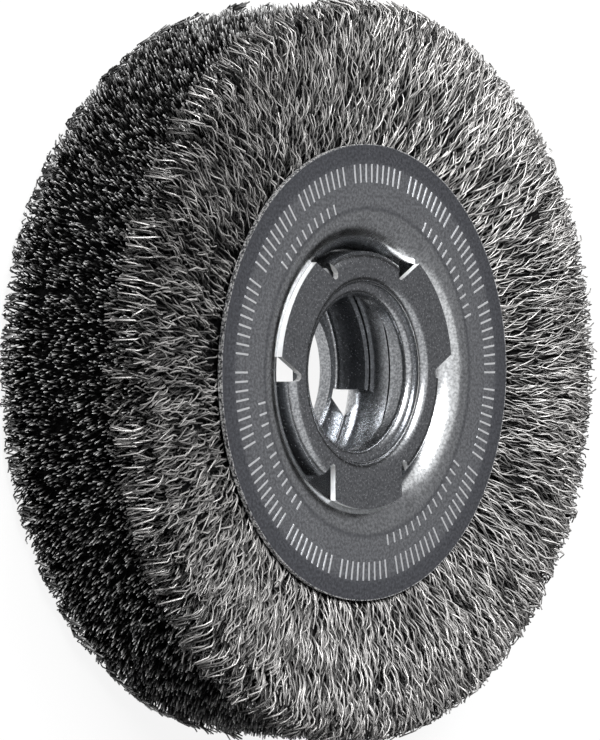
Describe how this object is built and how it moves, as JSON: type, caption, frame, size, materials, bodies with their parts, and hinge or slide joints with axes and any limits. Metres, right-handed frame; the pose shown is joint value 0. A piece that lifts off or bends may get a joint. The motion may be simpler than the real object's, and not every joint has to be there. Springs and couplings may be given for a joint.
{
  "type": "wire wheel brush",
  "caption": "Wide face crimped wire wheel brush: a thick disc of wavy steel wire held between dished steel plates, with tabbed bore adapters on a round arbor hole.",
  "frame": {"origin": "centre of the wheel on the arbor axis, halfway between the outer faces of the face plates", "axes": "+Z along the arbor axis, out of the front face plate; the wheel lies on its rear side, and +X and +Y are in the plane of the wheel"},
  "size_m": [0.153, 0.153, 0.04],
  "materials": {
    "face_plate": "zinc plated sheet steel, smooth and bright, with a faint rolled grain",
    "adapter": "zinc plated pressed steel, with a slightly rough grey face and bright bends",
    "sleeve": "plain drawn steel tube",
    "wire": "bright drawn steel wire, crimped, thin and dense, dark in its depth",
    "core_ring": "plain drawn steel rod"
  },
  "bodies": {
    "root": {"front_face_plate": "face_plate", "rear_face_plate": "face_plate", "spacer_sleeve": "sleeve", "wire_section_1": "wire", "wire_section_2": "wire", "wire_section_3": "wire", "wire_section_4": "wire", "core_ring_1": "core_ring", "core_ring_2": "core_ring", "core_ring_3": "core_ring", "core_ring_4": "core_ring", "front_bore_adapter": "adapter", "rear_bore_adapter": "adapter"}
  },
  "joints": []
}
